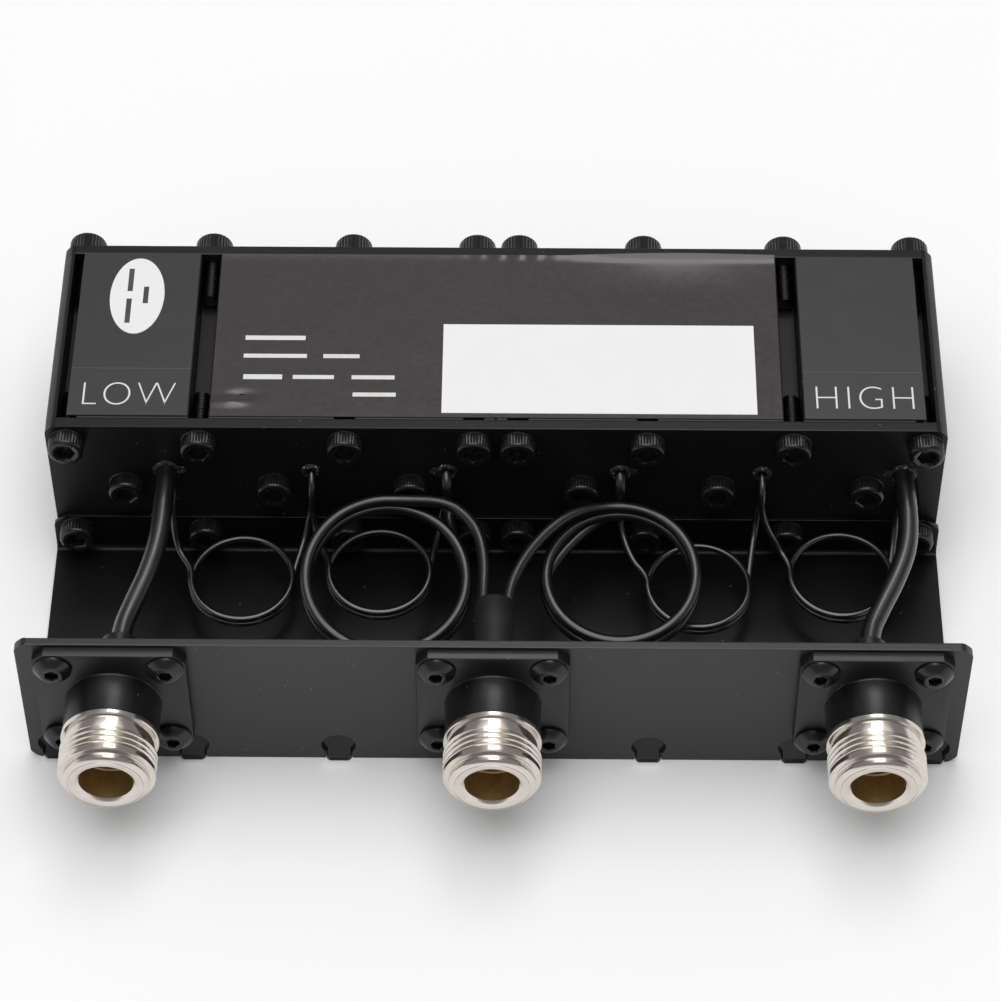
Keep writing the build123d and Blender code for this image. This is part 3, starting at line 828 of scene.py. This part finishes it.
class DUPLEXER_OT_cables(bpy.types.Operator):
    """The eight formed cables and the sleeve behind the middle socket"""
    bl_idname = "duplexer.cables"
    bl_label = "Cables"

    def execute(self, context):
        sizes = settings("cable")
        jacket = moulded("black extruded jacket", linear("#0c0c0c"), 0.36, 0.01, 0.5)
        thin_jacket = moulded("thin black jacket", linear("#0b0a0a"), 0.34, 0.006, 0.9)
        entry = cable_entries
        level = entry_level
        plate, inside = 45.1, 48.6
        left = [(-61.65, 6.5, 17.8), (-61.65, 12.5, 17.8), (-60.0, 18.0, 18.2),
                (-57.8, 24.0, 19.2), (-56.4, 30.5, 20.2), (entry[0], 38.0, level),
                (entry[0], plate, level), (entry[0], inside, level)]
        tube("low_lead", left, sizes.thick, jacket, "low_cable")
        right = [(61.65, 6.5, 17.8), (61.65, 12.5, 17.8), (64.0, 18.0, 18.1),
                 (67.0, 24.0, 18.9), (69.2, 30.0, 20.0), (entry[5] + 0.4, 37.5, level),
                 (entry[5], plate, level), (entry[5], inside, level)]
        tube("high_lead", right, sizes.thick, jacket, "high_cable")
        route = [(-1.9, 10.5, 17.8), (-1.9, 20.5, 17.8), (-1.7, 28.5, 18.2),
                 (-3.4, 35.3, 18.7), (-8.0, 39.8, 19.2)]
        route += coil((-18.4, 27.7, 14.7), 13.55, 15.5, 2.1, 90, 1, 1.75)
        route += [(-7.6, 37.9, 13.2), (entry[2], 42.9, 14.4), (entry[2], 42.9, level),
                  (entry[2], inside, level)]
        tube("low_loop", route, sizes.loop, jacket, "low_loop_cable")
        route = [(1.9, 10.5, 17.8), (1.9, 20.0, 17.8), (4.2, 27.4, 18.0),
                 (8.3, 34.0, 18.0), (13.2, 38.8, 17.8)]
        route += coil((21.2, 28.7, 14.3), 12.6, 9.5, 2.1, 90, -1, 1.75)
        route += [(14.5, 38.9, 12.4), (entry[3], 43.1, 13.6), (entry[3], 43.1, level),
                  (entry[3], inside, level)]
        tube("high_loop", route, sizes.loop, jacket, "high_loop_cable")
        front, behind, below = (42.5, level), (44.4, 19.2), (44.4, 18.3)
        couplings = (
            ((entry[0] + 0.9, *below), [(-55.2, 40.0, 12.0), (-54.4, 37.4, 8.2)],
             (-43.4, 32.6, 7.5), [(-33.0, 40.4, 7.6), (-31.6, 43.8, 12.0)],
             (entry[1] + 0.1, *behind)),
            ((entry[1] + 0.1, *front), [(-31.2, 41.2, 11.6), (-30.0, 37.6, 9.8)],
             (-19.8, 32.4, 9.8), [(-9.9, 41.2, 9.4), (-8.8, 44.0, 13.6)],
             (entry[2], *behind)),
            ((entry[3], *behind), [(21.0, 42.0, 11.4), (23.2, 36.2, 8.1)],
             (34.5, 31.5, 7.5), [(44.2, 40.8, 8.6), (45.0, 44.0, 13.0)],
             (entry[4] + 0.1, *behind)),
            ((entry[4] + 0.1, *front), [(45.3, 40.8, 14.2), (48.4, 38.8, 8.4)],
             (58.9, 34.1, 7.5), [(68.4, 41.2, 8.8), (68.9, 43.8, 13.0)],
             (entry[5], *below)))
        for number, bends in enumerate(couplings, 1):
            tube(f"coupling_{number}", self.couple(*bends), sizes.thin, thin_jacket,
                 f"coupling_cable_{number}")
        self.make_sleeve()
        return {"FINISHED"}

    def couple(self, start, lead, centre, rise, end):
        """A route from one cavity, round a coil, to the next; it bends at the plate twice."""
        inside = 48.1
        round_trip = coil(centre, 8.6, 4, 1.25, 180, 1, 1.5)
        return [(start[0], inside, start[2]), start, *lead, *round_trip, *rise, end,
                (end[0], inside, end[2])]

    def make_sleeve(self):
        """Shrunk sleeve: round over the ferrule, drawn flat round its two strands behind it."""
        low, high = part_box("tee_sleeve")
        x, z = middle(low, high)
        radius = (high.x - low.x) / 2
        length = high.y - low.y + 1.2 * mm
        shrunk = moulded("black shrink sleeve", linear("#101011"), 0.5, 0.03)
        bm, rim = start_rim(2.92 * mm, 64)
        climb_all(bm, rim, [
            (0, radius - 0.2 * mm), (0.2 * mm, radius), (length * 0.42, radius),
            (length * 0.5, radius - 0.12 * mm), (length * 0.62, radius - 0.02 * mm),
            (length * 0.97, radius - 0.05 * mm), (length, radius - 0.25 * mm),
            (length - 0.05 * mm, 2.6 * mm), (length - 0.6 * mm, 2.4 * mm)])
        for vert in bm.verts:
            flat = max(0.0, vert.co.z / length - 0.45) / 0.55
            vert.co.y *= 1 - 0.22 * flat
        bm.transform(facing_back(x, low.y, z))
        show("shrink_sleeve", bm, [shrunk], ["tee_sleeve"])


class DUPLEXER_OT_solder(bpy.types.Operator):
    """Lumpy solder where the cables enter the front plate"""
    bl_idname = "duplexer.solder"
    bl_label = "Solder"

    def execute(self, context):
        chance = random.Random(settings("cable").solder_seed)
        whole = bmesh.new()
        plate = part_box("front_plate")[0].y
        entry = cable_entries
        dab = [(0.0, 0.3), (0.6, 0.25), (1.0, 0.0)]
        for x in (entry[0] + 2.5, entry[2] - 1.9, entry[3] + 1.9, entry[5] - 2.5):
            put(whole, lathe(dab, 24), 0, facing_front(x * mm, plate, entry_level * mm))
        for x, radius in zip(entry, (1.9, 1.25, 1.45, 1.45, 1.25, 1.9)):
            ring = lathe([(radius - 0.5, 0.0), (radius - 0.45, 0.35), (radius, 0.5),
                          (radius + 0.3, 0.3), (radius + 0.45, 0.0)], 40)
            for vert in ring.verts:
                vert.co.x *= 1 + chance.uniform(-0.07, 0.07)
                vert.co.y *= 1 + chance.uniform(-0.07, 0.07)
                vert.co.z *= 1 + chance.uniform(-0.35, 0.35)
            put(whole, ring, 0, facing_front(x * mm, plate, entry_level * mm))
        show("entry_solder", whole, [soft_solder("cooled solder")], sharp=60.0)
        return {"FINISHED"}


def thicken(bm, low, high, lift=None):
    """Fits a flat shape one metre across between two corners, and makes it a sheet; lift raises
    the sheet's top at each x and y."""
    bmesh.ops.scale(bm, vec=(high.x - low.x, high.y - low.y, 1), verts=bm.verts)
    centre = (low + high) / 2
    bmesh.ops.translate(bm, vec=(centre.x, centre.y, low.z), verts=bm.verts)
    for vert in points_of(bmesh.ops.extrude_face_region(bm, geom=bm.faces[:])["geom"]):
        vert.co.z = high.z + (lift(vert.co.x, vert.co.y) if lift else 0)


def sheet_between(low, high, spacing, lift=None):
    """A thin sheet between two corners, with points this far apart."""
    bm = bmesh.new()
    columns = max(1, round((high.x - low.x) / spacing))
    rows = max(1, round((high.y - low.y) / spacing))
    bmesh.ops.create_grid(bm, x_segments=columns, y_segments=rows, size=0.5)
    thicken(bm, low, high, lift)
    return bm


def bump_at(x, y, place, width, depth):
    """A smooth bump of height 1 at a place, with its half widths along x and y."""
    across = (x - place[0] * mm) / (width * mm)
    along = (y - panel_face - place[1] * mm) / (depth * mm)
    return math.exp(-across ** 2 - along ** 2)


class DUPLEXER_OT_labels(bpy.types.Operator):
    """Printed sheets on the housings, port words, writing field and sticker"""
    bl_idname = "duplexer.labels"
    bl_label = "Labels"

    def execute(self, context):
        film = settings("label").film
        # The last colour is the painted reflection at the main label's rear
        self.make_main(printed_film("printed film, dark", film, 0.14, linear("#403c3d")))
        face = printed_film("printed film, black", linear("#2f2f30"), 0.3)
        strip = printed_film("printed strip, black", linear("#2e2e2f"), 0.36)
        # Painted highlight: this grey, called ink, draws the lit rear edge of each strip
        grey = paper("grey ink", "#5c5c5c", "#525252")
        white = paper("white ink", "#dededc", "#d4d3d0")
        field = paper("pale writing field", "#ededed", "#ebeae9")
        for side in ("low", "high"):
            self.make_plain(side + "_face_film", face, "face_label", side + "_face_label")
            self.make_strip(side, strip, white, grey)
        self.make_plain("field_sheet", field, "writing_field", "writing_field")
        self.make_print(white)
        sticker = paper("white sticker", "#ebebeb", "#e8e8e7")
        self.make_oval(sticker, paper("dark grey ink", "#3c3c3e", "#4c4c4e"))
        return {"FINISHED"}

    def make_main(self, film):
        """The main label: its rear edge lifts on the right, and its left front corner creases."""
        sizes = settings("label")
        low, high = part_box("main_label")

        def lift(x, y):
            bulge = max(0.0, 1 - (high.y - y) / (9 * mm)) ** 2
            lip = max(0.0, 1 - (high.y - y) / (1.8 * mm)) ** 2
            right = 1 / (1 + math.exp(-(x / mm - 15) / 3))
            glow = math.exp(-((x / mm - 32) / 14) ** 2)
            ripple = math.sin(x / mm * 1.9) * math.exp(-((x / mm - 3) / 7) ** 2)
            crease = bump_at(x, y, (-45.2, 50.6), 2.6, 0.7)
            crease -= 0.7 * bump_at(x, y, (-43.0, 52.4), 2.2, 0.7)
            edge = lip * (0.1 + 0.6 * right + 0.25 * ripple)
            return sizes.wave * (0.9 * bulge * glow + edge + 0.4 * crease)

        show("main_film", sheet_between(low, high, sizes.grid, lift), [film],
             ["main_label"])

    def make_plain(self, name, material, slot, node):
        """A flat sheet as large as its CAD node."""
        show(name, sheet_between(*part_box(node), 2 * mm), [material], [node])

    def make_strip(self, side, strip, white, grey):
        """A strip with a fine grey line along its rear edge, a painted highlight for the lit edge,
        and its port word.
        """
        low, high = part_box(side + "_strip")
        whole = sheet_between(low, high, 2 * mm)
        # Painted highlight along the strip's rear edge
        near = Vector((low.x, high.y - 0.1 * mm, low.z))
        put(whole, sheet_between(near, high + Vector((0, 0, 0.015 * mm)), 4 * mm), 1)
        show(side + "_strip_sheet", whole, [strip, grey], [side + "_strip"])
        word, ends = {"low": ("LOW", (-69.9, -54.3)), "high": ("HIGH", (54.0, 70.5))}[side]
        letters = self.write_word(word, ends, (49.8, 54.8), high.z)
        show(side + "_word", letters, [white])

    def write_word(self, word, ends, rows, z):
        """A word, as wide and tall as stated in millimetres, on a surface."""
        text = bpy.data.curves.new(word, "FONT")
        text.body = word
        text.extrude = 0.01 * mm
        text.offset = -0.026
        text.space_character = 1.12
        letters = new_object(word, text)
        shaped = letters.evaluated_get(bpy.context.evaluated_depsgraph_get())
        mesh = bpy.data.meshes.new_from_object(shaped)
        bpy.data.objects.remove(letters)
        xs = [vert.co.x for vert in mesh.vertices]
        ys = [vert.co.y for vert in mesh.vertices]
        wide = (ends[1] - ends[0]) * mm / (max(xs) - min(xs))
        tall = (rows[1] - rows[0]) * mm / (max(ys) - min(ys))
        corner = (ends[0] * mm - min(xs) * wide, panel_face + rows[0] * mm - min(ys) * tall,
                  z + 0.01 * mm)
        mesh.transform(Matrix.Translation(corner) @ Matrix.Diagonal((wide, tall, 1, 1)))
        bm = bmesh.new()
        bm.from_mesh(mesh)
        bpy.data.meshes.remove(mesh)
        return bm

    def make_print(self, white):
        """Short pale bars where the label has its rows of print."""
        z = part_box("main_label")[1].z
        whole = bmesh.new()
        for left, front, right, back in (
                (-43.1, 64.8, -32.8, 65.8), (-43.2, 60.7, -32.4, 61.6), (-43.0, 55.8, -36.4, 56.9),
                (-29.6, 60.7, -23.4, 61.6), (-34.6, 55.9, -27.6, 56.8), (-24.6, 55.9, -17.3, 56.8),
                (-24.3, 52.0, -17.0, 52.9)):
            near = Vector((left * mm, panel_face + front * mm, z - 0.01 * mm))
            far = Vector((right * mm, panel_face + back * mm, z + 0.02 * mm))
            put(whole, sheet_between(near, far, 1.0))
        show("label_print", whole, [white])

    def make_oval(self, white, ink):
        """The oval sticker with three upright bars of print."""
        low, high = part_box("oval_sticker")
        low = low + Vector((0.0, 0.35 * mm, 0))
        high = high - Vector((1.0 * mm, 0.35 * mm, 0))
        bm = bmesh.new()
        bmesh.ops.create_circle(bm, cap_ends=True, radius=0.5, segments=96)
        thicken(bm, low, high)
        centre = (low + high) / 2
        half = 0.45 * mm
        for column, front, back in ((0.16, -0.1, 0.12), (-0.14, -0.36, -0.04), (-0.14, 0.06, 0.36)):
            x = centre.x + column * (high.x - low.x)
            near = Vector((x - half, centre.y + front * (high.y - low.y), high.z - 0.01 * mm))
            far = Vector((x + half, centre.y + back * (high.y - low.y), high.z + 0.015 * mm))
            put(bm, sheet_between(near, far, 1 * mm), 1)
        show("oval_sheet", bm, [white, ink], ["oval_sticker"])


class DUPLEXER_OT_stage(bpy.types.Operator):
    """Pale floor, soft studio light and the camera"""
    bl_idname = "duplexer.stage"
    bl_label = "Stage"

    def execute(self, context):
        sizes = settings("stage")
        scene = context.scene
        scene.view_settings.view_transform = "Standard"
        self.make_floor()
        self.make_world(scene, sizes)
        self.make_lamp("overhead_lamp", (-0.05, -0.15, 1.0), 0.85, 4.6)
        self.make_lamp("rear_lamp", (0.06, 0.42, 0.95), 0.4, 1.6)
        self.make_camera(scene, sizes)
        return {"FINISHED"}

    def make_lamp(self, name, place, size, watts):
        """A square soft light that shines at the middle of the object's base."""
        light = bpy.data.lights.new(name, "AREA")
        light.shape = "SQUARE"
        light.size = size
        light.energy = watts
        lamp = new_object(name, light)
        lamp.location = place
        lamp.rotation_mode = "QUATERNION"
        lamp.rotation_quaternion = Vector(place).to_track_quat("Z", "Y")

    def make_camera(self, scene, sizes):
        """The camera at the photo's viewing angle."""
        camera = bpy.data.cameras.new("camera")
        camera.sensor_width = 36
        camera.lens = sizes.lens
        camera.clip_start = 0.01
        holder = new_object("camera", camera)
        turn = Matrix.Rotation(sizes.yaw, 4, "Z")
        turn = turn @ Matrix.Rotation(math.pi / 2 - sizes.tilt, 4, "X")
        turn = turn @ Matrix.Rotation(sizes.roll, 4, "Z")
        holder.matrix_world = Matrix.Translation(sizes.camera_place) @ turn
        scene.camera = holder

    def make_floor(self):
        """A pale floor that looks white to the camera and in reflections, and keeps its shadows."""
        bm = bmesh.new()
        bmesh.ops.create_grid(bm, x_segments=1, y_segments=1, size=4)
        mesh = bpy.data.meshes.new("floor")
        bm.to_mesh(mesh)
        bm.free()
        floor = new_object("floor", mesh)
        finish = {"Roughness": 0.9, "Specular IOR Level": 0.0}
        material, shader, _ = new_finish("white studio board", finish)
        rays = add(material.node_tree, "LightPath").outputs
        seen = combine("MAXIMUM", rays["Is Camera Ray"], rays["Is Glossy Ray"])
        set_colour(shader, seen, (0.78, 0.78, 0.78), (1.0, 1.0, 1.0))
        mesh.materials.append(material)

    def make_world(self, scene, sizes):
        """White to the camera; reflections see it white low down and overhead, and grey between."""
        world = bpy.data.worlds.new("studio")
        world.use_nodes = True
        scene.world = world
        tree = world.node_tree
        tree.nodes.clear()
        rays = add(tree, "LightPath").outputs
        mirrored = combine("MAXIMUM", rays["Is Glossy Ray"], rays["Is Transmission Ray"])
        direction = add(tree, "TexCoord").outputs["Generated"]
        height = add(tree, "SeparateXYZ", {"Vector": direction}).outputs["Z"]
        walls = spread(height, 0.08, 0.3, 1.0, sizes.walls)
        ceiling = spread(height, 0.72, 0.86, 0.0, sizes.ceiling - sizes.walls)
        room = combine("ADD", walls, ceiling)
        strength = spread(mirrored, 0.0, 1.0, sizes.ambient, room)
        strength = spread(rays["Is Camera Ray"], 0.0, 1.0, strength, 1.0)
        white = add(tree, "Background", {"Color": (1, 1, 1, 1), "Strength": strength})
        add(tree, "OutputWorld", {"Surface": white.outputs["Background"]})


class DUPLEXER_PT_panel(bpy.types.Panel):
    """Lists the duplexer's pieces and their settings"""
    bl_label = "Cavity duplexer"
    bl_idname = "DUPLEXER_PT_panel"
    bl_space_type = "VIEW_3D"
    bl_region_type = "UI"
    bl_category = "Duplexer"

    def draw(self, context):
        for operator in operators:
            self.layout.operator(operator.bl_idname)
        for name, group in groups.items():
            box = self.layout.box()
            box.label(text=name.capitalize())
            for key in group.__annotations__:
                box.prop(settings(name), key)


groups = {"paint": PaintSettings, "screw": ScrewSettings, "socket": SocketSettings,
          "cable": CableSettings, "label": LabelSettings, "stage": StageSettings}
operators = (DUPLEXER_OT_metalwork, DUPLEXER_OT_sockets, DUPLEXER_OT_screws,
             DUPLEXER_OT_cavity_parts, DUPLEXER_OT_cables, DUPLEXER_OT_solder,
             DUPLEXER_OT_labels, DUPLEXER_OT_stage)


def register():
    for item in (*groups.values(), *operators, DUPLEXER_PT_panel):
        bpy.utils.register_class(item)
    for name, group in groups.items():
        setattr(bpy.types.Scene, "duplexer_" + name, PointerProperty(type=group))


def unregister():
    for name in groups:
        delattr(bpy.types.Scene, "duplexer_" + name)
    for item in (DUPLEXER_PT_panel, *reversed(operators), *reversed(groups.values())):
        bpy.utils.unregister_class(item)


def main():
    register()
    for operator in operators:
        group, action = operator.bl_idname.split(".")
        getattr(getattr(bpy.ops, group), action)()


if __name__ == "__main__":
    main()
